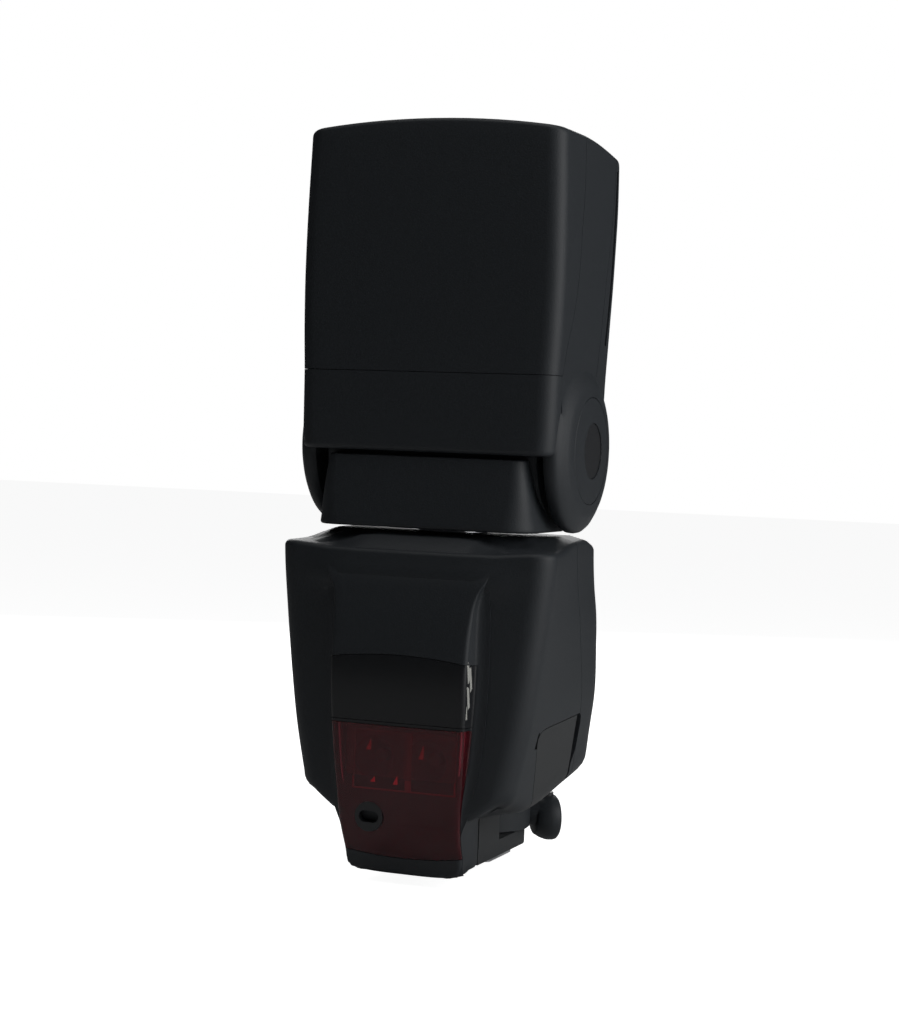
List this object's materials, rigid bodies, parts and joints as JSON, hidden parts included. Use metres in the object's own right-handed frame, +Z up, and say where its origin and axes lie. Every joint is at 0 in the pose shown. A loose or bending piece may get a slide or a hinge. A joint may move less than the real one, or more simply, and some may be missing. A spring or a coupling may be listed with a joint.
{
  "type": "speedlight flash",
  "caption": "Hot-shoe flash: tilting, swivelling zoom head on a slim body with smoked and red front windows, rear control panel, battery door and locking shoe foot.",
  "frame": {"origin": "centre of the underside of the shoe plate, where it rests in an accessory shoe", "axes": "+Z up through the head, -Y towards the side with the red lamp window, +Y towards the control panel, +X towards the side with the tilt release button and the sockets"},
  "size_m": [0.0764, 0.0777, 0.1969],
  "materials": {
    "black_plastic": "fine matte grain, near black",
    "fitting_plastic": "smooth satin black",
    "key_plastic": "satin dark grey",
    "pilot_red": "translucent red",
    "smoked_plastic": "gloss smoked black",
    "red_window": "gloss dark red, see-through",
    "red_plastic": "red moulded lamp optics",
    "lcd_glass": "clear gloss",
    "lcd_cell": "grey-green display",
    "board": "green circuit board",
    "capacitor_sleeve": "black sleeve",
    "cell_metal": "wrapped cell",
    "steel": "machined",
    "foot_metal": "satin nickel",
    "contact_brass": "gold flashed",
    "rubber_black": "matt moulded",
    "lens_plastic": "clear moulded",
    "reflector_metal": "bright anodised",
    "tube_glass": "clear",
    "white_panel": "white"
  },
  "bodies": {
    "body": {"front_case": "black_plastic", "rear_case": "black_plastic", "smoked_window": "smoked_plastic", "assist_window": "red_window", "assist_lamp_unit": "red_plastic", "receiver_unit": "fitting_plastic", "sensor_bezel": "fitting_plastic", "sensor_lens": "smoked_plastic", "main_board": "board", "main_capacitor": "capacitor_sleeve", "battery_cage": "fitting_plastic", "battery_cells": "cell_metal", "cage_contacts": "steel", "door_hinge_pin": "steel", "terminal_block": "fitting_plastic", "pc_socket": "contact_brass", "bracket_socket": "foot_metal", "lcd_window": "lcd_glass", "lcd_module": "lcd_cell", "control_board": "board", "case_screws": "steel", "foot_stem": "foot_metal", "foot_plate": "foot_metal", "foot_contacts": "contact_brass", "foot_skirt": "rubber_black"},
    "neck": {"neck_block": "black_plastic", "swivel_shaft": "steel", "swivel_retainer": "steel", "trunnions": "steel"},
    "head": {"head_case": "black_plastic", "head_top_cover": "black_plastic", "head_bottom_cover": "black_plastic", "fresnel_lens": "lens_plastic", "head_frame": "fitting_plastic", "guide_rods": "steel", "zoom_motor": "steel"},
    "carriage": {"zoom_carriage": "fitting_plastic", "reflector": "reflector_metal", "flash_tube": "tube_glass"},
    "screw": {"lead_screw": "steel"},
    "release": {"release_button": "fitting_plastic"},
    "wide_panel": {"wide_panel": "lens_plastic"},
    "catchlight_panel": {"catchlight_panel": "white_panel"},
    "lever": {"lock_lever": "black_plastic"},
    "lever_button": {"lock_release_button": "fitting_plastic"},
    "pin": {"lock_pin": "steel"},
    "cover": {"terminal_cover": "rubber_black"},
    "door": {"battery_door": "black_plastic", "door_contacts": "steel"},
    "latch": {"door_latch": "fitting_plastic"},
    "key_light": {"light_button": "key_plastic"},
    "key_mode": {"mode_button": "key_plastic"},
    "key_sync": {"sync_button": "key_plastic"},
    "key_zoom": {"zoom_button": "key_plastic"},
    "dial": {"select_dial": "key_plastic"},
    "key_set": {"set_button": "key_plastic"},
    "key_test": {"test_button": "pilot_red"},
    "power": {"power_switch": "key_plastic"}
  },
  "joints": [
    {"name": "head_swivel", "type": "hinge", "parent": "body", "child": "neck", "pos_m": [0, -0.021, 0.0895], "axis": [0, 0, 1], "range_deg": [0, 360]},
    {"name": "head_tilt", "type": "hinge", "parent": "neck", "child": "head", "pos_m": [0, -0.021, 0.112], "axis": [-1, 0, 0], "range_deg": [0, 97]},
    {"name": "bounce_release", "type": "slide", "parent": "head", "child": "release", "axis": [-1, 0, 0], "range_m": [0, 0.0015]},
    {"name": "zoom_screw", "type": "hinge", "parent": "head", "child": "screw", "pos_m": [-0.0282, -0.0116, 0.16], "axis": [0, 0, 1], "range_deg": [-1530, 0]},
    {"name": "zoom_slide", "type": "slide", "parent": "head", "child": "carriage", "axis": [0, 0, 1], "range_m": [-0.017, 0]},
    {"name": "wide_panel_slide", "type": "slide", "parent": "head", "child": "wide_panel", "axis": [0, 0, 1], "range_m": [0, 0.036]},
    {"name": "catchlight_slide", "type": "slide", "parent": "head", "child": "catchlight_panel", "axis": [0, 0, 1], "range_m": [0, 0.034]},
    {"name": "lock_turn", "type": "hinge", "parent": "body", "child": "lever", "pos_m": [0, 0, 0.011], "axis": [0, 0, 1], "range_deg": [0, 75]},
    {"name": "lock_pin_drop", "type": "slide", "parent": "body", "child": "pin", "axis": [0, 0, -1], "range_m": [0, 0.0015]},
    {"name": "lock_release", "type": "slide", "parent": "lever", "child": "lever_button", "axis": [0, 0, -1], "range_m": [0, 0.001]},
    {"name": "terminal_cover_swing", "type": "hinge", "parent": "body", "child": "cover", "pos_m": [0.0312, -0.0394, 0.03], "axis": [0, 0, -1], "range_deg": [0, 100]},
    {"name": "battery_door_swing", "type": "hinge", "parent": "body", "child": "door", "pos_m": [-0.0312, -0.016, 0.049], "axis": [0, -1, 0], "range_deg": [0, 90]},
    {"name": "door_latch_slide", "type": "slide", "parent": "door", "child": "latch", "axis": [0, 0, -1], "range_m": [0, 0.0026]},
    {"name": "light_press", "type": "slide", "parent": "body", "child": "key_light", "axis": [0, -1, 0], "range_m": [0, 0.0006]},
    {"name": "mode_press", "type": "slide", "parent": "body", "child": "key_mode", "axis": [0, -1, 0], "range_m": [0, 0.0006]},
    {"name": "sync_press", "type": "slide", "parent": "body", "child": "key_sync", "axis": [0, -1, 0], "range_m": [0, 0.0006]},
    {"name": "zoom_press", "type": "slide", "parent": "body", "child": "key_zoom", "axis": [0, -1, 0], "range_m": [0, 0.0006]},
    {"name": "dial_turn", "type": "hinge", "parent": "body", "child": "dial", "pos_m": [0, 0.0088, 0.041], "axis": [0, 1, 0], "continuous": true},
    {"name": "set_press", "type": "slide", "parent": "body", "child": "key_set", "axis": [0, -1, 0], "range_m": [0, 0.0008]},
    {"name": "test_press", "type": "slide", "parent": "body", "child": "key_test", "axis": [0, -1, 0], "range_m": [0, 0.0008]},
    {"name": "power_slide", "type": "slide", "parent": "body", "child": "power", "axis": [0, 0, 1], "range_m": [0, 0.0034]}
  ],
  "couplings": [
    {"joint": "zoom_screw", "follows": "zoom_slide", "rad_per_m": 1570.8},
    {"joint": "lock_pin_drop", "follows": "lock_turn", "m_per_rad": 0.0011459}
  ]
}
